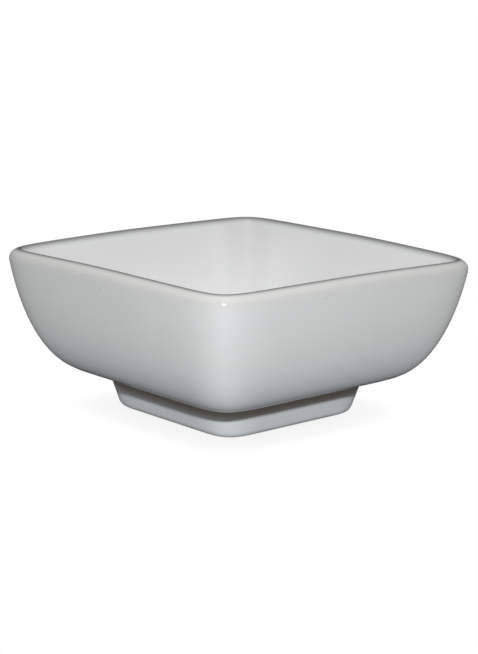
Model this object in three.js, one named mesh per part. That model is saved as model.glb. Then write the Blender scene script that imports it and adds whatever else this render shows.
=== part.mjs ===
import * as THREE from 'three';

// Square footed bowl in white glazed porcelain. Millimetres, +Z up, standing on z = 0, centred on Z.
// Every width is measured from flat to flat across the square plan.

// Whole bowl
const BOWL_HEIGHT = 46.6;
const RIM_WIDTH = 100; // where the wall meets the rolled rim
const RIM_CORNER_RADIUS = 11.2; // in plan

// Rim
const RIM_THICKNESS = 4.2;
const RIM_OUTER_ROLL = 3.6; // height over which the outside rolls over to the crest
const RIM_INNER_ROLL = 1.25; // width of the soft edge on the inside
const RIM_INNER_DROP = 3.2; // height of that edge
const RIM_SIDE_BOW = 0.25; // how far the middle of a side stands out past a straight line
const RIM_CORNER_DROOP = 0.55; // how far a corner's crest lies below the middle of a side
const RIM_DROOP_POWER = 1.45; // 1 would droop evenly from the middle of a side to the corner

// Wall, as it curves from the level underside up to the rim
const WALL_FLARE_DEGREES = 8; // lean of the wall under the rim
const WALL_RIM_REACH = 17.7; // pull of the leaning stretch under the rim
const WALL_BELLY_REACH = 9.2; // pull of the level stretch at the underside
const BELLY_CORNER_RADIUS = 7.8;
const BELLY_MARGIN = 1.3; // level underside left outside the foot's joint

// Inside floor
const FLOOR_THICKNESS = 4.5;
const FLOOR_WIDTH = 60;
const FLOOR_CORNER_RADIUS = 5;
const FLOOR_REACH = 11; // pull of the level floor as it turns up into the wall

// Foot ring, narrower at the table than at its top
const FOOT_HEIGHT = 8.8;
const FOOT_TOP_WIDTH = 58;
const FOOT_BASE_WIDTH = 51.8; // at the table, before its lower edge is rounded
const FOOT_CORNER_RADIUS = 7.8; // at the table, widening upwards with the foot
const FOOT_EDGE_ROUND = 2; // set-back of the round on the outer lower edge
const FOOT_LAND_WIDTH = 2.4; // flat band that stands on the table
const RECESS_CORNER_RADIUS = 5; // of the hollow inside the ring, at the table
const RECESS_EDGE_ROUND = 0.8;
const RECESS_DRAFT = 0.4; // how much narrower the recess is, each side, at its top

// Luted joint between foot and bowl, wiped to a hollow fillet inside and out
const JOINT_HEIGHT = 1.7;
const JOINT_SPREAD = 2.2; // how far the fillet runs out under the bowl
const JOINT_LIP = 0.2; // thickness of the fillet's edge against the bowl

// Fullness of the rolled rim: share of its height that keeps the wall's lean, and of its depth that is level
const ROLL_LEAN_SHARE = 0.6;
const ROLL_LEVEL_SHARE = 0.55;

// Ease of a plan corner: how near its curve is pulled to the sharp corner of the square
const BOWL_CORNER_EASE = 0.05; // turns gently at first and most at the tip
const FOOT_CORNER_EASE = 0.25; // nearer to a plain arc

// Steps along the curves
const WALL_STEPS = 14;
const ROLL_STEPS = 6;
const EDGE_STEPS = 4;
const SIDE_STEPS = 6;
const CORNER_STEPS = 10;

const CORNER_COUNT = 4;
const QUARTER_STEPS = SIDE_STEPS + CORNER_STEPS;
const PLAN_STEPS = CORNER_COUNT * QUARTER_STEPS;
const QUARTER_TURN = Math.PI / 2;

// Levels and half widths that the pieces share
const underside = FOOT_HEIGHT + JOINT_HEIGHT;
const floorTop = underside + FLOOR_THICKNESS;
const footTopHalf = FOOT_TOP_WIDTH / 2;
const footBaseHalf = FOOT_BASE_WIDTH / 2;
const landOuterHalf = footBaseHalf - FOOT_EDGE_ROUND;
const landInnerHalf = landOuterHalf - FOOT_LAND_WIDTH;
const recessBaseHalf = landInnerHalf - RECESS_EDGE_ROUND;
const recessTopHalf = recessBaseHalf - RECESS_DRAFT;
const footTaper = (footTopHalf - footBaseHalf) / FOOT_HEIGHT;
const bellyHalf = footTopHalf + JOINT_SPREAD + BELLY_MARGIN;
const floorHalf = FLOOR_WIDTH / 2;
const rimHalf = RIM_WIDTH / 2;
const innerHalf = rimHalf - RIM_THICKNESS;
const flare = THREE.MathUtils.degToRad(WALL_FLARE_DEGREES);

const vec = (halfWidth, height) => new THREE.Vector2(halfWidth, height);

// Plan corner radius that runs evenly between two half widths, and down to nothing on the axis
function radiusBetween(lowHalf, lowRadius, highHalf, highRadius) {
  return (half) => {
    if (half <= lowHalf) return (lowRadius * half) / lowHalf;
    const share = Math.min(1, (half - lowHalf) / (highHalf - lowHalf));
    return lowRadius + (highRadius - lowRadius) * share;
  };
}

// Plan corner radius of an outline at an even distance from a known one
function radiusOffset(knownHalf, knownRadius) {
  return (half) => knownRadius + half - knownHalf;
}

// Rows of a section: the half width, height and plan corner radius of each ring of the swept solid
function rows(points, cornerRadius) {
  return points.map((point) => ({ half: point.x, height: point.y, radius: cornerRadius(point.x) }));
}

// Length of side that a corner curve takes up, for the same cut at its tip as an arc of this radius
function cornerRun(radius, ease) {
  return (radius * (1 - Math.SQRT1_2) * 8) / (1 + 3 * ease);
}

// One point of the rounded square, counted anticlockwise from the start of the +X side, whose sides bow out
function planPoint(step, row, ease, bow) {
  if (row.half === 0) return vec(0, 0);
  const local = step % QUARTER_STEPS;
  const run = cornerRun(row.radius, ease);
  const straight = row.half - run;
  const pulled = row.half - ease * run;
  const point = vec(row.half, 0);
  if (local < SIDE_STEPS) {
    point.y = straight * ((2 * local) / SIDE_STEPS - 1);
  } else {
    const corner = new THREE.CubicBezierCurve(
      vec(row.half, straight), vec(row.half, pulled), vec(pulled, row.half), vec(straight, row.half));
    corner.getPoint((local - SIDE_STEPS) / CORNER_STEPS, point);
  }
  const swell = (across) => bow * (1 - (across / row.half) ** 2) ** 2;
  point.add(vec(swell(point.y), swell(point.x)));
  return point.rotateAround(vec(0, 0), Math.floor(step / QUARTER_STEPS) * QUARTER_TURN);
}

// How near a point is to a corner of its plan: 0 in the middle of a side, 1 at the corner
function cornerNearness(point, row) {
  if (row.half === 0) return 0;
  const cornerReach = row.half - row.radius * (1 - Math.SQRT1_2);
  return Math.min(Math.abs(point.x), Math.abs(point.y)) / cornerReach;
}

// The section is turned round the axis, and each ring is then drawn out to its rounded square.
// Towards the rim the sides bow outwards and the corners droop.
function sweepSquare(name, section, ease, material) {
  const geometry = new THREE.LatheGeometry(section.map((row) => vec(row.half, row.height)), PLAN_STEPS);
  const position = geometry.getAttribute('position');
  for (let index = 0; index < position.count; index += 1) {
    const row = section[index % section.length];
    const step = Math.floor(index / section.length) % PLAN_STEPS;
    const rise = Math.max(0, (row.height - floorTop) / (BOWL_HEIGHT - floorTop));
    const point = planPoint(step, row, ease, RIM_SIDE_BOW * rise ** 2);
    const droop = RIM_CORNER_DROOP * rise ** 3 * cornerNearness(point, row) ** RIM_DROOP_POWER;
    position.setXYZ(index, point.x, point.y, row.height - droop);
  }
  geometry.computeVertexNormals();
  const mesh = new THREE.Mesh(geometry, material);
  mesh.name = name;
  return mesh;
}

// Wall curve: level where it leaves the floor or underside, leaning out where it meets the rim
function wallCurve(start, startReach, end) {
  const lean = vec(Math.sin(flare), Math.cos(flare)).multiplyScalar(WALL_RIM_REACH);
  return new THREE.CubicBezierCurve(start, vec(start.x + startReach, start.y), end.clone().sub(lean), end);
}

// Floor and four walls in one moulded piece, with a rolled rim
function bowlShell(material) {
  const crest = vec(innerHalf + RIM_INNER_ROLL, BOWL_HEIGHT);
  const outerTop = vec(rimHalf, BOWL_HEIGHT - RIM_OUTER_ROLL);
  const innerTop = vec(innerHalf, BOWL_HEIGHT - RIM_INNER_DROP);
  const outerWall = wallCurve(vec(bellyHalf, underside), WALL_BELLY_REACH, outerTop);
  const innerWall = wallCurve(vec(floorHalf, floorTop), FLOOR_REACH, innerTop);

  const leanRise = ROLL_LEAN_SHARE * RIM_OUTER_ROLL;
  const rollLean = vec(outerTop.x + Math.tan(flare) * leanRise, outerTop.y + leanRise);
  const rollLevel = vec(crest.x + ROLL_LEVEL_SHARE * (outerTop.x - crest.x), BOWL_HEIGHT);
  const outerRoll = new THREE.CubicBezierCurve(outerTop, rollLean, rollLevel, crest);
  const innerCorner = vec(innerHalf + Math.tan(flare) * RIM_INNER_DROP, BOWL_HEIGHT);
  const innerRoll = new THREE.QuadraticBezierCurve(crest, innerCorner, innerTop);

  const rimRadius = radiusOffset(rimHalf, RIM_CORNER_RADIUS);
  const outerRadius = radiusBetween(bellyHalf, BELLY_CORNER_RADIUS, rimHalf, RIM_CORNER_RADIUS);
  const innerRadius = radiusBetween(floorHalf, FLOOR_CORNER_RADIUS, innerHalf, rimRadius(innerHalf));

  const section = [
    ...rows([vec(0, underside)], outerRadius),
    ...rows(outerWall.getPoints(WALL_STEPS), outerRadius),
    ...rows(outerRoll.getPoints(ROLL_STEPS).slice(1), rimRadius),
    ...rows(innerRoll.getPoints(ROLL_STEPS).slice(1), rimRadius),
    ...rows(innerWall.getPoints(WALL_STEPS).reverse().slice(1), innerRadius),
    ...rows([vec(0, floorTop)], innerRadius),
  ];
  return sweepSquare('bowl_shell', section, BOWL_CORNER_EASE, material);
}

// Square ring that the bowl stands on, with a flat land at the table and a hollow inside
function footRing(material) {
  const edgeTop = vec(footBaseHalf + footTaper * FOOT_EDGE_ROUND, FOOT_EDGE_ROUND);
  const outerEdge = new THREE.QuadraticBezierCurve(vec(landOuterHalf, 0), vec(footBaseHalf, 0), edgeTop);
  const innerEdge = new THREE.QuadraticBezierCurve(
    vec(recessBaseHalf, RECESS_EDGE_ROUND), vec(recessBaseHalf, 0), vec(landInnerHalf, 0));

  const wallRadius = radiusOffset(footBaseHalf, FOOT_CORNER_RADIUS);
  const recessRadius = radiusOffset(recessBaseHalf, RECESS_CORNER_RADIUS);
  const section = [
    ...rows(outerEdge.getPoints(EDGE_STEPS), wallRadius),
    ...rows([vec(footTopHalf, FOOT_HEIGHT)], wallRadius),
    ...rows([vec(recessTopHalf, FOOT_HEIGHT)], recessRadius),
    ...rows(innerEdge.getPoints(EDGE_STEPS), recessRadius),
    ...rows([vec(landOuterHalf, 0)], wallRadius),
  ];
  return sweepSquare('foot_ring', section, FOOT_CORNER_EASE, material);
}

// Bed of slip and soft clay that joins the foot to the underside
function lutingFillet(material) {
  const lipHeight = underside - JOINT_LIP;
  const outerLipHalf = footTopHalf + JOINT_SPREAD;
  const innerLipHalf = recessTopHalf - JOINT_SPREAD;
  const hollowHalf = footTopHalf + footTaper * (lipHeight - FOOT_HEIGHT);
  const outerHollow = new THREE.QuadraticBezierCurve(
    vec(footTopHalf, FOOT_HEIGHT), vec(hollowHalf, lipHeight), vec(outerLipHalf, lipHeight));
  const innerHollow = new THREE.QuadraticBezierCurve(
    vec(innerLipHalf, lipHeight), vec(recessTopHalf, lipHeight), vec(recessTopHalf, FOOT_HEIGHT));

  const outerRadius = radiusOffset(footBaseHalf, FOOT_CORNER_RADIUS);
  const innerRadius = radiusOffset(recessBaseHalf, RECESS_CORNER_RADIUS);
  const section = [
    ...rows(outerHollow.getPoints(EDGE_STEPS), outerRadius),
    ...rows([vec(outerLipHalf, underside)], outerRadius),
    ...rows([vec(innerLipHalf, underside)], innerRadius),
    ...rows(innerHollow.getPoints(EDGE_STEPS), innerRadius),
    ...rows([vec(footTopHalf, FOOT_HEIGHT)], outerRadius),
  ];
  return sweepSquare('luting_fillet', section, FOOT_CORNER_EASE, material);
}

const bowlGlaze = new THREE.MeshStandardMaterial({ color: 0xeceded, roughness: 0.12, metalness: 0 });
const footGlaze = new THREE.MeshStandardMaterial({ color: 0xe7e9ea, roughness: 0.16, metalness: 0 });
const jointGlaze = new THREE.MeshStandardMaterial({ color: 0xaea59c, roughness: 0.2, metalness: 0 });

const squareBowl = new THREE.Group();
squareBowl.name = 'square_bowl';
squareBowl.add(bowlShell(bowlGlaze), lutingFillet(jointGlaze), footRing(footGlaze));

export default squareBowl;
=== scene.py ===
import bpy
import math
from mathutils import Matrix, Vector


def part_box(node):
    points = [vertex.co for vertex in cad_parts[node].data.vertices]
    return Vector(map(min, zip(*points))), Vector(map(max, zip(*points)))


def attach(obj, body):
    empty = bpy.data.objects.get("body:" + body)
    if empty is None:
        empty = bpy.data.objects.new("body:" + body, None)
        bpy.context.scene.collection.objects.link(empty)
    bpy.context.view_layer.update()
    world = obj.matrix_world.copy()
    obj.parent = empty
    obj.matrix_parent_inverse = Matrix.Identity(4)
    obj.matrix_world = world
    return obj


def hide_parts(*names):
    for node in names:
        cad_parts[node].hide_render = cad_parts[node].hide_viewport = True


# White porcelain square bowl: shell, foot ring and the luted joint between them.
# Sizes in the dictionaries are millimetres unless a name says otherwise.

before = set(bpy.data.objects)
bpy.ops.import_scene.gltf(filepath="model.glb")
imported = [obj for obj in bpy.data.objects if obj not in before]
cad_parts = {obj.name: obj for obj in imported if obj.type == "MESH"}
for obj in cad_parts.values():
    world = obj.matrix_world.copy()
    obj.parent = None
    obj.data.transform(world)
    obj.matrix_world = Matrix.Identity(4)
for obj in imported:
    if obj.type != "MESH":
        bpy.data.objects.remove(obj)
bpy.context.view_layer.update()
mm = 0.001
scene = bpy.context.scene
scene.view_settings.view_transform = "Standard"

shellLow, shellHigh = [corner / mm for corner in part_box("bowl_shell")]
jointLow, jointHigh = [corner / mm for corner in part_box("luting_fillet")]
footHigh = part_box("foot_ring")[1] / mm
print("frame loaded, rim at", round(shellHigh.z, 2), "mm")


def addObject(name, data):
    added = bpy.data.objects.new(name, data)
    scene.collection.objects.link(added)
    return added


# camera, where the photograph was taken from
photoView = {
    "azimuthDegrees": 48.09,
    "elevationDegrees": 12.49,
    "rollDegrees": 0.95,
    "distance": 519.0,
    "aimHeight": 23.0,
    "slideRight": 0.81,
    "slideUp": 1.04,
    "lens": 98.57,
    "sensor": 36.0,
    "clipStart": 10.0,
}


def viewAxes(azimuth, elevation):  # right, up and backwards of someone looking at the bowl
    back = Vector((
        math.sin(azimuth) * math.cos(elevation),
        -math.cos(azimuth) * math.cos(elevation),
        math.sin(elevation),
    ))
    right = Vector((math.cos(azimuth), math.sin(azimuth), 0))
    return right, back.cross(right), back


def axesMatrix(right, up, back, place):
    turned = Matrix((right, up, back)).transposed().to_4x4()
    return Matrix.Translation(place) @ turned


azimuth = math.radians(photoView["azimuthDegrees"])
right, up, back = viewAxes(azimuth, math.radians(photoView["elevationDegrees"]))
roll = Matrix.Rotation(math.radians(photoView["rollDegrees"]), 3, back)
right = roll @ right
up = roll @ up
aimPoint = Vector((0, 0, photoView["aimHeight"]))
eye = aimPoint + back * photoView["distance"]
eye += right * photoView["slideRight"] + up * photoView["slideUp"]

cameraData = bpy.data.cameras.new("photoCamera")
cameraData.lens = photoView["lens"]
cameraData.sensor_width = photoView["sensor"]
cameraData.clip_start = photoView["clipStart"] * mm
photoCamera = addObject("photoCamera", cameraData)
photoCamera.matrix_world = axesMatrix(right, up, back, eye * mm)
scene.camera = photoCamera
print("camera set")


# small helpers for node trees
def wire(tree, socket, value):  # links another socket, or sets a plain value
    if isinstance(value, bpy.types.NodeSocket):
        tree.links.new(value, socket)
    else:
        socket.default_value = value


def makeNode(tree, kind, values=(), **settings):
    node = tree.nodes.new(kind)
    for name, setting in settings.items():
        setattr(node, name, setting)
    for socketName, value in dict(values).items():
        wire(tree, node.inputs[socketName], value)
    return node


def inOrder(tree, node, values):  # fills the inputs from the first one on
    for socket, value in zip(node.inputs, values):
        wire(tree, socket, value)
    return node.outputs[0]


def calc(tree, operation, *values):
    return inOrder(tree, makeNode(tree, "ShaderNodeMath", operation=operation), values)


def count(tree, operation, *values):
    return inOrder(tree, makeNode(tree, "FunctionNodeIntegerMath", operation=operation), values)


def remap(tree, value, fromLow, fromHigh, toLow=0.0, toHigh=1.0, smooth=False):
    curve = "SMOOTHSTEP" if smooth else "LINEAR"
    node = makeNode(tree, "ShaderNodeMapRange", interpolation_type=curve)
    return inOrder(tree, node, (value, fromLow, fromHigh, toLow, toHigh))


# Geometry Nodes: a section is carried round a rounded square,
# whose sides bow and whose corners droop towards the rim
sweepInputs = [
    ("Section", "NodeSocketGeometry"),
    ("Side Steps", "NodeSocketInt"),
    ("Corner Steps", "NodeSocketInt"),
    ("Floor Level", "NodeSocketFloat"),
    ("Rim Level", "NodeSocketFloat"),
    ("Side Bow", "NodeSocketFloat"),
    ("Corner Droop", "NodeSocketFloat"),
    ("Kiln Warp", "NodeSocketFloat"),
    ("Droop Power", "NodeSocketFloat"),
    ("Corner Softness", "NodeSocketFloat"),
    ("Glaze", "NodeSocketMaterial"),
]
planSteps = {"Side Steps": 20, "Corner Steps": 24}
bendSteps = 20
sharpDegrees = 40.0
weldDistance = 0.002
bowRisePower = 2  # how fast the bow and the droop grow from floor to rim
droopRisePower = 3

# each corner is a cubic curve
innerWeight = 3  # of the points beside its ends
middleShare = 1 / 8  # of each of its terms, half way round


def squareSweepTree():
    tree = bpy.data.node_groups.new("squareSweep", "GeometryNodeTree")
    for name, kind in sweepInputs:
        tree.interface.new_socket(name=name, in_out="INPUT", socket_type=kind)
    tree.interface.new_socket(name="Piece", in_out="OUTPUT", socket_type="NodeSocketGeometry")
    given = makeNode(tree, "NodeGroupInput").outputs

    # one row of the grid for each point of the section, one column for each step round the plan
    stepped = makeNode(tree, "GeometryNodeCurveToPoints", mode="EVALUATED")
    wire(tree, stepped.inputs["Curve"], given["Section"])
    points = stepped.outputs[0]
    size = makeNode(tree, "GeometryNodeAttributeDomainSize", component="POINTCLOUD")
    wire(tree, size.inputs["Geometry"], points)
    rows = size.outputs["Point Count"]
    quarterSteps = count(tree, "ADD", given["Side Steps"], given["Corner Steps"])
    columns = count(tree, "MULTIPLY_ADD", quarterSteps, 4, 1)  # the last meets the first
    grid = makeNode(tree, "GeometryNodeMeshGrid", {"Vertices X": columns, "Vertices Y": rows})
    index = makeNode(tree, "GeometryNodeInputIndex").outputs[0]
    row = count(tree, "MODULO", index, rows)
    column = count(tree, "DIVIDE_FLOOR", index, rows)
    quarter = count(tree, "DIVIDE_FLOOR", column, quarterSteps)
    local = count(tree, "MODULO", column, quarterSteps)

    # the section holds half width in X, corner run in Y and height in Z,
    # and the number of the bend as its radius
    def sectionValue(inputNode, kind):
        sampled = makeNode(tree, "GeometryNodeSampleIndex", data_type=kind, domain="POINT")
        wire(tree, sampled.inputs["Geometry"], points)
        wire(tree, sampled.inputs["Value"], makeNode(tree, inputNode).outputs[0])
        wire(tree, sampled.inputs["Index"], row)
        return sampled.outputs[0]

    place = sectionValue("GeometryNodeInputPosition", "FLOAT_VECTOR")
    parts = makeNode(tree, "ShaderNodeSeparateXYZ", {"Vector": place}).outputs
    half, cornerRun, height = parts[0], parts[1], parts[2]

    # a quarter of the plan: one side, then one corner
    along = remap(tree, local, 0, given["Side Steps"], -1, 1)
    turn = remap(tree, local, given["Side Steps"], quarterSteps, 0, 1)
    rest = calc(tree, "SUBTRACT", 1, turn)
    soft = calc(tree, "MULTIPLY", cornerRun, given["Corner Softness"])
    soft = calc(tree, "MULTIPLY", soft, innerWeight)
    rise = remap(tree, height, given["Floor Level"], given["Rim Level"])
    straight = calc(tree, "SUBTRACT", half, cornerRun)

    def cornerPull(near, far):  # how far a corner point lies in from the square's own corner line
        cubic = calc(tree, "MULTIPLY", cornerRun, calc(tree, "POWER", near, 3))
        beside = calc(tree, "MULTIPLY", far, calc(tree, "POWER", near, 2))
        return calc(tree, "ADD", cubic, calc(tree, "MULTIPLY", soft, beside))

    sideways = calc(tree, "MULTIPLY", straight, along)
    cornerward = calc(tree, "SUBTRACT", cornerRun, cornerPull(rest, turn))
    sideways = calc(tree, "ADD", sideways, cornerward)
    outward = calc(tree, "SUBTRACT", half, cornerPull(turn, rest))
    mostBow = calc(tree, "MULTIPLY", given["Side Bow"], calc(tree, "POWER", rise, bowRisePower))

    def bowed(value, across):  # sides swell most in the middle
        share = calc(tree, "POWER", calc(tree, "DIVIDE", across, half), 2)
        swell = calc(tree, "POWER", calc(tree, "SUBTRACT", 1, share), 2)
        return calc(tree, "MULTIPLY_ADD", mostBow, swell, value)

    quarterSpot = makeNode(tree, "ShaderNodeCombineXYZ")
    wire(tree, quarterSpot.inputs["X"], bowed(outward, sideways))
    wire(tree, quarterSpot.inputs["Y"], bowed(sideways, outward))
    spot = makeNode(tree, "ShaderNodeVectorRotate", rotation_type="Z_AXIS")
    wire(tree, spot.inputs["Vector"], quarterSpot.outputs[0])
    wire(tree, spot.inputs["Angle"], calc(tree, "MULTIPLY", quarter, math.pi / 2))
    flat = makeNode(tree, "ShaderNodeSeparateXYZ", {"Vector": spot.outputs[0]}).outputs

    # corners droop, and one pair droops more than the other
    softCut = calc(tree, "MULTIPLY", soft, middleShare)
    cutBack = calc(tree, "MULTIPLY_ADD", cornerRun, middleShare, softCut)
    reach = calc(tree, "SUBTRACT", half, cutBack)
    least = calc(tree, "MINIMUM", calc(tree, "ABSOLUTE", flat[0]), calc(tree, "ABSOLUTE", flat[1]))
    cornerShare = calc(tree, "DIVIDE", least, reach)
    nearness = calc(tree, "POWER", cornerShare, given["Droop Power"])
    diagonal = calc(tree, "SIGN", calc(tree, "MULTIPLY", flat[0], flat[1]))
    sag = calc(tree, "MULTIPLY_ADD", given["Kiln Warp"], diagonal, given["Corner Droop"])
    sagHere = calc(tree, "MULTIPLY", sag, calc(tree, "POWER", rise, droopRisePower))
    drop = calc(tree, "MULTIPLY", sagHere, nearness)
    finalHeight = calc(tree, "SUBTRACT", height, drop)
    joined = makeNode(tree, "ShaderNodeCombineXYZ")
    finalSpot = inOrder(tree, joined, (flat[0], flat[1], finalHeight))

    shaped = makeNode(tree, "GeometryNodeSetPosition", {"Geometry": grid.outputs[0]})
    wire(tree, shaped.inputs["Position"], finalSpot)
    piece = shaped.outputs[0]
    bend = sectionValue("GeometryNodeInputRadius", "FLOAT")
    for name, value in (("bend", bend), ("corner", cornerShare)):
        values = {"Geometry": piece, "Name": name}
        marked = makeNode(tree, "GeometryNodeStoreNamedAttribute", values)
        wire(tree, marked.inputs["Value"], value)
        piece = marked.outputs[0]
    welded = makeNode(tree, "GeometryNodeMergeByDistance", {"Geometry": piece})
    wire(tree, welded.inputs["Distance"], weldDistance * mm)
    smooth = makeNode(tree, "GeometryNodeSetShadeSmooth", {"Geometry": welded.outputs[0]})
    realized = makeNode(tree, "GeometryNodeRealizeInstances", {"Geometry": smooth.outputs[0]})
    glazed = makeNode(tree, "GeometryNodeSetMaterial", {"Geometry": realized.outputs[0]})
    wire(tree, glazed.inputs["Material"], given["Glaze"])
    result = makeNode(tree, "NodeGroupOutput")
    wire(tree, result.inputs["Piece"], glazed.outputs[0])
    return tree


squareSweep = squareSweepTree()


def runPerRadius(softness):  # corner run that cuts a corner back as far as an arc of radius 1
    return (1 - math.sqrt(0.5)) / (middleShare * (1 + innerWeight * softness))


# a bend is (start, pull on start, pull on end, end, corner radius rule); a run is straight
def run(start, end, radius):
    return start, None, None, end, radius


def roundEdge(start, corner, end, radius):  # bend drawn two thirds of the way to a corner point
    def pulled(point):
        return tuple(a + (b - a) * 2 / 3 for a, b in zip(point, corner))
    return start, pulled(start), pulled(end), end, radius


def sectionCurve(name, bends, softness):
    curve = bpy.data.curves.new(name, "CURVE")
    curve.dimensions = "3D"
    curve.resolution_u = bendSteps
    spline = curve.splines.new("BEZIER")
    knots = spline.bezier_points
    knots.add(len(bends))
    for index, (start, startPull, endPull, end, radius) in enumerate(bends):
        first, last = knots[index], knots[index + 1]
        first.radius, last.radius = index, index + 1
        handleType = "FREE" if startPull else "VECTOR"
        first.handle_right_type = handleType
        last.handle_left_type = handleType
        for point, target, field in (
            (start, first, "co"), (startPull, first, "handle_right"),
            (endPull, last, "handle_left"), (end, last, "co"),
        ):
            if point:
                cornerRun = radius(point[0]) * runPerRadius(softness)
                setattr(target, field, Vector((point[0], cornerRun, point[1])) * mm)
    return curve


def sweepPiece(name, bends, glaze, rimShape, softness):
    section = addObject(name + "Section", sectionCurve(name + "Section", bends, softness))
    modifier = section.modifiers.new("squareSweep", "NODES")
    modifier.node_group = squareSweep
    values = {**planSteps, **rimShape, "Corner Softness": softness, "Glaze": glaze}
    for socket in squareSweep.interface.items_tree:
        if socket.name in values:
            modifier[socket.identifier] = values[socket.name]
    depsgraph = bpy.context.evaluated_depsgraph_get()
    evaluated = section.evaluated_get(depsgraph)
    mesh = bpy.data.meshes.new_from_object(evaluated, depsgraph=depsgraph)
    section.modifiers.remove(modifier)
    bpy.data.objects.remove(section)
    mesh.name = name
    mesh.set_sharp_from_angle(angle=math.radians(sharpDegrees))
    return addObject(name, mesh)


# plan corner radius as a rule of the half width
def radiusBetween(lowHalf, lowRadius, highHalf, highRadius):
    slope = (highRadius - lowRadius) / (highHalf - lowHalf)
    return lambda half: lowRadius + slope * (half - lowHalf)


def radiusOffset(knownHalf, knownRadius):
    return lambda half: knownRadius + half - knownHalf


# glaze shared by the three pieces: clouded, with a few specks and a ripple in its gloss
def opaque(colour):  # a written colour gets its alpha, a socket stays as it is
    return (*colour, 1) if isinstance(colour, tuple) else colour


def blend(tree, share, first, second):
    node = makeNode(tree, "ShaderNodeMix", data_type="RGBA")
    wire(tree, node.inputs["Factor"], share)
    wire(tree, node.inputs[6], opaque(first))  # 6 and 7 are the colour inputs
    wire(tree, node.inputs[7], opaque(second))
    return node.outputs[2]


# 1 in the middle stretch, 0 outside it
def between(tree, value, riseStart, riseEnd, fallStart, fallEnd):
    risen = remap(tree, value, riseStart, riseEnd, smooth=True)
    left = remap(tree, value, fallStart, fallEnd, 1, 0, smooth=True)
    return calc(tree, "MULTIPLY", risen, left)


def levelRange(pair):  # two heights in metres
    return [level * mm for level in pair]


def startGroup(name, inputs, outputs):
    tree = bpy.data.node_groups.new(name, "ShaderNodeTree")
    for side, sockets in (("INPUT", inputs), ("OUTPUT", outputs)):
        for socketName, kind in sockets:
            kind = "NodeSocket" + kind
            tree.interface.new_socket(name=socketName, in_out=side, socket_type=kind)
    return tree, makeNode(tree, "NodeGroupInput").outputs, makeNode(tree, "NodeGroupOutput").inputs


coatLook = {
    "cloudScale": 38.0,
    "cloudDetail": 3.0,
    "cloudRange": (0.35, 0.65),
    "cloudDepth": 0.018,
    "speckScale": 120.0,
    "speckSize": 0.05,
    "speckChance": 0.3,
    "speckColour": (0.72, 0.70, 0.67),
    "rippleScale": 130.0,
    "rippleDetail": 2.0,
    "rippleRange": (0.3, 0.7),
    "rippleStrength": 0.4,
    "rippleDepth": 0.05,
    "smoothest": 0.15,
    "roughest": 0.2,
}


def glazeCoatGroup(look):
    colours = (("Body", "Color"), ("Thin And Shade", "Color"), ("Pooled And Shade", "Color"))
    masks = (("Thin And Shade Mask", "Float"), ("Pool And Shade Mask", "Float"))
    results = (("Colour", "Color"), ("Roughness", "Float"), ("Height", "Float"))
    tree, given, result = startGroup("glazeCoat", colours + masks, results)
    place = makeNode(tree, "ShaderNodeTexCoord").outputs["Object"]

    def noise(scale, detail):
        values = {"Vector": place, "Scale": scale, "Detail": detail}
        return makeNode(tree, "ShaderNodeTexNoise", values).outputs["Fac"]

    cloud = noise(look["cloudScale"], look["cloudDetail"])
    dimmed = remap(tree, cloud, *look["cloudRange"], 1, 1 - look["cloudDepth"])
    clouded = makeNode(tree, "ShaderNodeVectorMath", operation="SCALE")
    wire(tree, clouded.inputs[0], given["Body"])
    wire(tree, clouded.inputs["Scale"], dimmed)
    # blends in the rim tone, partly thin glaze and partly painted shade, and the pool slot: pooled
    # glaze in the bowl, painted shade on foot and joint
    colour = blend(tree, given["Thin And Shade Mask"], clouded.outputs[0], given["Thin And Shade"])
    colour = blend(tree, given["Pool And Shade Mask"], colour, given["Pooled And Shade"])

    cells = makeNode(tree, "ShaderNodeTexVoronoi", {"Vector": place, "Scale": look["speckScale"]})
    chance = makeNode(tree, "ShaderNodeSeparateColor", {"Color": cells.outputs["Color"]}).outputs[0]
    speckEdge = look["speckSize"]
    dot = remap(tree, cells.outputs["Distance"], speckEdge / 2, speckEdge, 1, 0, smooth=True)
    speck = calc(tree, "MULTIPLY", dot, calc(tree, "LESS_THAN", chance, look["speckChance"]))
    wire(tree, result["Colour"], blend(tree, speck, colour, look["speckColour"]))

    ripple = noise(look["rippleScale"], look["rippleDetail"])
    wire(tree, result["Height"], ripple)
    gloss = (look["smoothest"], look["roughest"])
    wire(tree, result["Roughness"], remap(tree, ripple, *look["rippleRange"], *gloss))
    return tree


glazeCoat = glazeCoatGroup(coatLook)


def startMaterial(name):
    material = bpy.data.materials.new(name)
    material.use_nodes = True
    tree = material.node_tree
    return material, tree, tree.nodes["Principled BSDF"]


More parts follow.
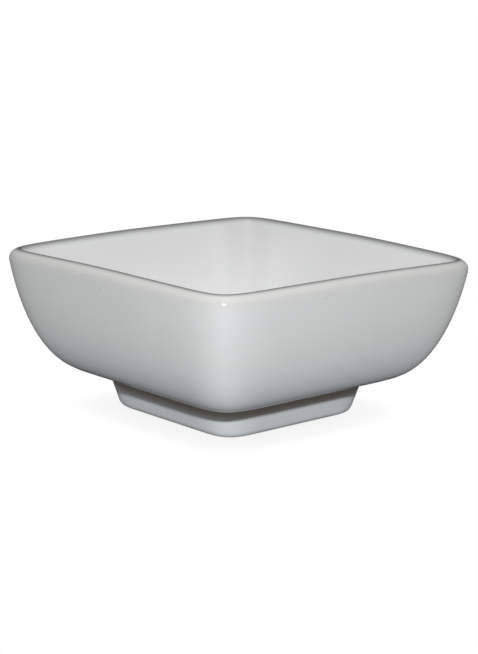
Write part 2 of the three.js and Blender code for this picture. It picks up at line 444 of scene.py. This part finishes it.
def glazeMaterial(name, look, zones):
    material, tree, shader = startMaterial(name)
    bend = makeNode(tree, "ShaderNodeAttribute", attribute_name="bend").outputs["Fac"]
    corner = makeNode(tree, "ShaderNodeAttribute", attribute_name="corner").outputs["Fac"]
    place = makeNode(tree, "ShaderNodeTexCoord").outputs["Object"]
    height = makeNode(tree, "ShaderNodeSeparateXYZ", {"Vector": place}).outputs[2]
    body, thinAndShadeMask, poolAndShadeMask, worn, bare = zones(tree, bend, corner, height, look)

    coat = makeNode(tree, "ShaderNodeGroup", node_tree=glazeCoat)
    wire(tree, coat.inputs["Thin And Shade Mask"], thinAndShadeMask)
    wire(tree, coat.inputs["Pool And Shade Mask"], poolAndShadeMask)
    for socketName, colour in (("Body", body), ("Thin And Shade", look["thin"]), ("Pooled And Shade", look["pooled"])):
        wire(tree, coat.inputs[socketName], opaque(colour))
    colour = blend(tree, bare, coat.outputs["Colour"], look["biscuit"])
    wire(tree, shader.inputs["Base Color"], colour)
    roughness = calc(tree, "MULTIPLY_ADD", worn, look["wornRoughness"], coat.outputs["Roughness"])
    roughness = remap(tree, bare, 0, 1, roughness, look["biscuitRoughness"])
    wire(tree, shader.inputs["Roughness"], roughness)
    bump = makeNode(tree, "ShaderNodeBump", {"Height": coat.outputs["Height"]})
    wire(tree, bump.inputs["Strength"], coatLook["rippleStrength"])
    wire(tree, bump.inputs["Distance"], coatLook["rippleDepth"] * mm)
    wire(tree, shader.inputs["Normal"], bump.outputs[0])
    shader.inputs["Diffuse Roughness"].default_value = look["diffuseRoughness"]
    shader.inputs["IOR"].default_value = look["ior"]
    return material


glazeLook = {
    "outside": (0.852, 0.872, 0.884),
    # painted shade: the lower outer wall gets a darker, cooler tone of the glaze
    "lowOutside": (0.78, 0.828, 0.868),
    # painted highlight: the corners get a lighter tone low down
    "lowCorner": (0.882, 0.925, 0.96),
    # painted shade: the inside gets a darker tone of the same glaze
    "inside": (0.824, 0.827, 0.825),
    # painted shade in the inside corners
    "insideCorner": (0.72, 0.722, 0.72),
    # partly thin glaze on the rolled rim, partly painted shade that darkens the roll
    "thin": (0.732, 0.729, 0.72),
    # painted shade: a dark line along the rim's crest
    "crest": (0.25, 0.25, 0.245),
    # glaze pooled at the edge of the inside floor; foot and joint put painted shade in this slot
    "pooled": (0.80, 0.82, 0.82),
    "biscuit": (0.78, 0.74, 0.68),
    "biscuitRoughness": 0.75,
    "wornRoughness": 0.58,
    "diffuseRoughness": 0.2,
    "ior": 1.5,
}

# bowl shell
shellShape = {
    "rollSwell": 0.245,  # rolled rim and bowed sides stand out past the top of the wall
    "rimCornerRadius": 11.2,
    "rimThickness": 4.2,
    "rimOuterRoll": 3.6,
    "rimInnerRoll": 1.25,
    "rimInnerDrop": 3.2,
    "rollLeanShare": 0.6,
    "rollLevelShare": 0.55,
    "flareDegrees": 8.0,
    "wallRimReach": 17.7,
    "bellyHalf": 32.5,
    "bellyReach": 9.2,
    "bellyCornerRadius": 7.8,
    "floorThickness": 4.5,
    "floorHalf": 30.0,
    "floorReach": 11.0,
    "floorCornerRadius": 5.0,
    "sideBow": 0.25,
    "cornerDroop": 0.56,
    "kilnWarp": 0.36,  # left and right corners lower, near and far ones higher
    "droopPower": 1.45,
    "cornerSoftness": 0.05,
    # glaze zones; bends are counted from the middle of the underside:
    # 0 underside, 1 wall, 2 rim outside, 3 rim inside, 4 inner wall, 5 floor
    "insideBends": (3.3, 4.0),
    "rimBends": (1.93, 2.3, 2.5, 3.0),
    # where the painted shade of the crest lies
    "crestShadeBends": (2.4, 3.0, 3.15, 3.85),
    "poolBends": (4.4, 4.9, 5.0, 5.3),
    # lowLevels and cornerShares place the painted shade and painted highlight low on the wall, and
    # the painted shade in the inside corners
    "lowLevels": (28.0, 14.0),
    "cornerShares": (0.72, 1.0),  # 1 half way round a corner
}


def rimShapeOf(shape):
    return {
        "Floor Level": (shellLow.z + shape["floorThickness"]) * mm,
        "Rim Level": shellHigh.z * mm,
        "Side Bow": shape["sideBow"] * mm,
        "Corner Droop": shape["cornerDroop"] * mm,
        "Kiln Warp": shape["kilnWarp"] * mm,
        "Droop Power": shape["droopPower"],
    }


def shellBends(shape):
    underside, rimTop = shellLow.z, shellHigh.z
    floorTop = underside + shape["floorThickness"]
    rimHalf = shellHigh.x - shape["rollSwell"]
    innerHalf = rimHalf - shape["rimThickness"]
    bellyHalf, floorHalf = shape["bellyHalf"], shape["floorHalf"]
    flare = math.radians(shape["flareDegrees"])
    leanX = shape["wallRimReach"] * math.sin(flare)
    leanZ = shape["wallRimReach"] * math.cos(flare)
    outerTop = (rimHalf, rimTop - shape["rimOuterRoll"])
    innerTop = (innerHalf, rimTop - shape["rimInnerDrop"])
    innerCorner = (innerHalf + shape["rimInnerDrop"] * math.tan(flare), rimTop)
    crest = (innerHalf + shape["rimInnerRoll"], rimTop)
    leanRise = shape["rollLeanShare"] * shape["rimOuterRoll"]
    rollLean = (rimHalf + leanRise * math.tan(flare), outerTop[1] + leanRise)
    rollLevel = (crest[0] + shape["rollLevelShare"] * (rimHalf - crest[0]), rimTop)

    bellyRadius, floorEdgeRadius = shape["bellyCornerRadius"], shape["floorCornerRadius"]
    rimRadius = radiusOffset(rimHalf, shape["rimCornerRadius"])
    underRadius = radiusBetween(0, 0, bellyHalf, bellyRadius)
    outerRadius = radiusBetween(bellyHalf, bellyRadius, rimHalf, shape["rimCornerRadius"])
    innerRadius = radiusBetween(floorHalf, floorEdgeRadius, innerHalf, rimRadius(innerHalf))
    floorRadius = radiusBetween(0, 0, floorHalf, floorEdgeRadius)
    bellyStart = (bellyHalf, underside)
    floorEdge = (floorHalf, floorTop)
    return [
        run((0, underside), bellyStart, underRadius),
        (bellyStart, (bellyHalf + shape["bellyReach"], underside),
         (outerTop[0] - leanX, outerTop[1] - leanZ), outerTop, outerRadius),
        (outerTop, rollLean, rollLevel, crest, rimRadius),
        roundEdge(crest, innerCorner, innerTop, rimRadius),
        (innerTop, (innerTop[0] - leanX, innerTop[1] - leanZ),
         (floorHalf + shape["floorReach"], floorTop), floorEdge, innerRadius),
        run(floorEdge, (0, floorTop), floorRadius),
    ]


def shellZones(tree, bend, corner, height, look):
    inside = remap(tree, bend, *shellShape["insideBends"], smooth=True)
    # painted shade low on the outer wall, with a painted highlight low on the corners
    low = remap(tree, height, *levelRange(shellShape["lowLevels"]), smooth=True)
    atCorner = remap(tree, corner, *shellShape["cornerShares"], smooth=True)
    lowColour = blend(tree, atCorner, look["lowOutside"], look["lowCorner"])
    outsideColour = blend(tree, low, look["outside"], lowColour)
    # painted shade inside, darker still in the inside corners
    insideColour = blend(tree, atCorner, look["inside"], look["insideCorner"])
    body = blend(tree, inside, outsideColour, insideColour)
    # painted shade along the crest
    crest = between(tree, bend, *shellShape["crestShadeBends"])
    body = blend(tree, crest, body, look["crest"])
    # rim band: partly thin glaze, partly painted shade
    rim = between(tree, bend, *shellShape["rimBends"])
    poolAndShade = between(tree, bend, *shellShape["poolBends"])
    return body, rim, poolAndShade, inside, 0.0


rimShape = rimShapeOf(shellShape)
bowlGlaze = glazeMaterial("bowlGlaze", glazeLook, shellZones)
softness = shellShape["cornerSoftness"]
bowlShell = sweepPiece("bowlShell", shellBends(shellShape), bowlGlaze, rimShape, softness)
print("bowl shell swept,", len(bowlShell.data.polygons), "faces")


# foot ring, wiped bare on its land, with painted shade at its top under the overhang
footShape = {
    "baseHalf": 25.9,
    "cornerRadius": 7.8,
    "cornerSoftness": 0.25,
    "edgeRound": 2.0,
    "landWidth": 2.4,
    "recessCornerRadius": 5.0,
    "recessEdgeRound": 0.8,
    "recessDraft": 0.4,
    "bareLevels": (0.10, 0.16),
    # painted shade on the top of the foot, under the overhang
    "paintedShadeLevels": (4.6, 8.0),
}
landOuter = footShape["baseHalf"] - footShape["edgeRound"]
landInner = landOuter - footShape["landWidth"]
recessBase = landInner - footShape["recessEdgeRound"]
recessTop = recessBase - footShape["recessDraft"]
footTaper = (footHigh.x - footShape["baseHalf"]) / footHigh.z
recessRadius = radiusOffset(recessBase, footShape["recessCornerRadius"])
footRadius = radiusOffset(footShape["baseHalf"], footShape["cornerRadius"])
recessTopRadius = recessRadius(recessTop)
footTopRadius = radiusBetween(recessTop, recessTopRadius, footHigh.x, footRadius(footHigh.x))


def footBends(shape):
    edgeTop = (shape["baseHalf"] + footTaper * shape["edgeRound"], shape["edgeRound"])
    recessEdge = (recessBase, shape["recessEdgeRound"])
    landRadius = radiusBetween(landInner, recessRadius(landInner), landOuter, footRadius(landOuter))
    return [
        roundEdge((landOuter, 0), (shape["baseHalf"], 0), edgeTop, footRadius),
        run(edgeTop, (footHigh.x, footHigh.z), footRadius),
        run((footHigh.x, footHigh.z), (recessTop, footHigh.z), footTopRadius),
        run((recessTop, footHigh.z), recessEdge, recessRadius),
        roundEdge(recessEdge, (recessBase, 0), (landInner, 0), recessRadius),
        run((landInner, 0), (landOuter, 0), landRadius),
    ]


def footZones(tree, bend, corner, height, look):
    bare = remap(tree, height, *levelRange(footShape["bareLevels"]), 1, 0)
    # painted shade, darker towards the top of the foot
    paintedShade = remap(tree, height, *levelRange(footShape["paintedShadeLevels"]), smooth=True)
    return look["footBody"], 0.0, paintedShade, 0.0, bare


# painted light: the foot's glaze is lighter and cooler than the bowl's
footLook = {**glazeLook, "footBody": (0.88, 0.928, 0.96), "pooled": (0.42, 0.375, 0.33)}
footGlaze = glazeMaterial("footGlaze", footLook, footZones)
softness = footShape["cornerSoftness"]
footRing = sweepPiece("footRing", footBends(footShape), footGlaze, rimShape, softness)
print("foot ring swept,", len(footRing.data.polygons), "faces")


# luted joint, wiped to a hollow fillet outside and inside the foot
jointShape = {
    "spread": 2.2,
    "lip": 0.03,
}


def jointBends(shape):
    lipLevel = jointHigh.z - shape["lip"]
    outerLip = jointHigh.x
    innerLip = recessTop - shape["spread"]
    topRadius = radiusBetween(innerLip, recessRadius(innerLip), outerLip, footRadius(outerLip))
    footCorner = (footHigh.x, jointLow.z)
    recessCorner = (recessTop, jointLow.z)
    hollow = (footHigh.x + footTaper * (lipLevel - jointLow.z), lipLevel)
    return [
        roundEdge(footCorner, hollow, (outerLip, lipLevel), footRadius),
        run((outerLip, lipLevel), (outerLip, jointHigh.z), footRadius),
        run((outerLip, jointHigh.z), (innerLip, jointHigh.z), topRadius),
        run((innerLip, jointHigh.z), (innerLip, lipLevel), recessRadius),
        roundEdge((innerLip, lipLevel), (recessTop, lipLevel), recessCorner, recessRadius),
        run(recessCorner, footCorner, footTopRadius),
    ]


# painted shade: the joint is dark brown, darker towards its top under the overhang
def jointZones(tree, bend, corner, height, look):
    poolAndShade = remap(tree, height, *levelRange((jointLow.z, jointHigh.z)), smooth=True)
    return look["jointBody"], 0.0, poolAndShade, 0.0, 0.0


# painted shade in the crevice between bowl and foot
jointLook = {**glazeLook, "jointBody": (0.42, 0.375, 0.33), "pooled": (0.34, 0.30, 0.265)}
jointGlaze = glazeMaterial("jointGlaze", jointLook, jointZones)
lutingFillet = sweepPiece("lutingFillet", jointBends(jointShape), jointGlaze, rimShape, softness)
print("luting fillet swept,", len(lutingFillet.data.polygons), "faces")

for piece, node, slot in (
    (bowlShell, "bowl_shell", "bowl_glaze"),
    (lutingFillet, "luting_fillet", "joint_glaze"),
    (footRing, "foot_ring", "foot_glaze"),
):
    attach(piece, "root")
    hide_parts(node)


# light: a small lamp above the lens, low panels behind the bowl and a large dim one overhead
keyLamp = {
    "aboveLens": 97.0,
    "slideRight": 1.5,
    "width": 34.0,
    "height": 16.0,
    "watts": 1.76,
}
backPanels = {  # lower than the rim, so that they don't light its top
    "turnDegrees": (147.0, 213.0),
    "distance": 420.0,
    "level": 22.0,
    "width": 300.0,
    "height": 40.0,
    "watts": 0.75,
}
topPanel = {
    "level": 800.0,
    "width": 500.0,
    "height": 500.0,
    "watts": 2.4,
}


def areaLamp(name, look, place, aim, reflected=False):  # never seen by the camera itself
    data = bpy.data.lights.new(name, "AREA")
    data.shape = "RECTANGLE"
    data.size = look["width"] * mm
    data.size_y = look["height"] * mm
    data.energy = look["watts"]
    lamp = addObject(name, data)
    lamp.rotation_euler = (aim - place).to_track_quat("-Z", "Y").to_euler()
    lamp.location = place * mm
    lamp.visible_camera = False
    lamp.visible_glossy = reflected


def roundTheBowl(turnDegrees, distance, level):  # turned from the camera's side
    outward = viewAxes(azimuth + math.radians(turnDegrees), 0)[2]
    return outward * distance + Vector((0, 0, level))


overLens = eye + Vector((0, 0, keyLamp["aboveLens"])) + right * keyLamp["slideRight"]
areaLamp("keyLamp", keyLamp, overLens, aimPoint, reflected=True)  # a dot on the near corner
for turn in backPanels["turnDegrees"]:
    place = roundTheBowl(turn, backPanels["distance"], backPanels["level"])
    areaLamp("backPanel", backPanels, place, Vector((0, 0, backPanels["level"])))
areaLamp("topPanel", topPanel, Vector((0, 0, topPanel["level"])), aimPoint)


roomLight = {
    "ambient": (0.13, 0.13, 0.13),
    "white": (1.0, 1.0, 1.0),
}


def seenShare(tree):  # 1 for rays from the camera, and for reflections and glass
    rays = makeNode(tree, "ShaderNodeLightPath").outputs
    shown = calc(tree, "ADD", rays["Is Camera Ray"], rays["Is Glossy Ray"])
    total = makeNode(tree, "ShaderNodeMath", operation="ADD", use_clamp=True)
    return inOrder(tree, total, (shown, rays["Is Transmission Ray"]))


def mixShaders(tree, share, first, second):
    mixed = makeNode(tree, "ShaderNodeMixShader")
    return inOrder(tree, mixed, (share, first.outputs[0], second.outputs[0]))


def roomWorld(look):
    world = bpy.data.worlds.new("room")
    world.use_nodes = True
    tree = world.node_tree
    tree.nodes.clear()
    dim = makeNode(tree, "ShaderNodeBackground", {"Color": opaque(look["ambient"])})
    bright = makeNode(tree, "ShaderNodeBackground", {"Color": opaque(look["white"])})
    output = makeNode(tree, "ShaderNodeOutputWorld")
    wire(tree, output.inputs["Surface"], mixShaders(tree, seenShare(tree), dim, bright))
    scene.world = world


roomWorld(roomLight)

# table that the bowl stands on, white to the camera with a soft contact shadow
tableTop = {
    "size": 4000.0,
    "drop": 0.05,
    "albedo": (0.365, 0.356, 0.347),
    "shadowReach": 12.0,
    "shadowSamples": 16,
    "shadowTone": 0.85,  # right at the foot
}


def tableMaterial(look):
    material, tree, shader = startMaterial("tableWhite")
    tree.nodes.remove(shader)
    near = makeNode(tree, "ShaderNodeAmbientOcclusion", samples=look["shadowSamples"])
    wire(tree, near.inputs["Distance"], look["shadowReach"] * mm)
    tone = remap(tree, near.outputs["AO"], 0, 1, look["shadowTone"], 1)
    glow = makeNode(tree, "ShaderNodeEmission", {"Strength": tone})
    matte = makeNode(tree, "ShaderNodeBsdfDiffuse", {"Color": opaque(look["albedo"])})
    mixed = mixShaders(tree, seenShare(tree), matte, glow)
    wire(tree, tree.nodes["Material Output"].inputs["Surface"], mixed)
    material.cycles.emission_sampling = "NONE"
    return material


def tablePlane(look):
    reach = look["size"] / 2
    corners = [(-reach, -reach), (reach, -reach), (reach, reach), (-reach, reach)]
    spots = [Vector((x, y, -look["drop"])) * mm for x, y in corners]
    mesh = bpy.data.meshes.new("tableTop")
    mesh.from_pydata(spots, [], [(0, 1, 2, 3)])
    mesh.materials.append(tableMaterial(look))
    return addObject("tableTop", mesh)


tablePlane(tableTop)

# dark cloth under and round the set, only for reflections, so that white edges stay readable
darkCloth = {
    "radius": 800.0,
    "height": 3000.0,
    "sides": 48,
    "drop": 0.03,
    "colour": (0.02, 0.018, 0.016),
    "roughness": 1.0,
    "shine": 0.0,
}


def clothTub(look):
    total = look["sides"]
    steps = [2 * math.pi * k / total for k in range(total)]
    ring = [(math.cos(a) * look["radius"], math.sin(a) * look["radius"]) for a in steps]
    low = [Vector((x, y, -look["drop"])) * mm for x, y in ring]
    high = [Vector((x, y, look["height"])) * mm for x, y in ring]
    faces = [(k, (k + 1) % total, total + (k + 1) % total, total + k) for k in range(total)]
    mesh = bpy.data.meshes.new("darkCloth")
    mesh.from_pydata(low + high, [], faces + [tuple(range(total))])
    material, tree, shader = startMaterial("darkCloth")
    shader.inputs["Base Color"].default_value = opaque(look["colour"])
    shader.inputs["Roughness"].default_value = look["roughness"]
    shader.inputs["Specular IOR Level"].default_value = look["shine"]
    mesh.materials.append(material)
    cloth = addObject("darkCloth", mesh)
    for kind in ("camera", "diffuse", "transmission", "shadow", "volume_scatter"):
        setattr(cloth, "visible_" + kind, False)
    return cloth


clothTub(darkCloth)
print("light and table set")
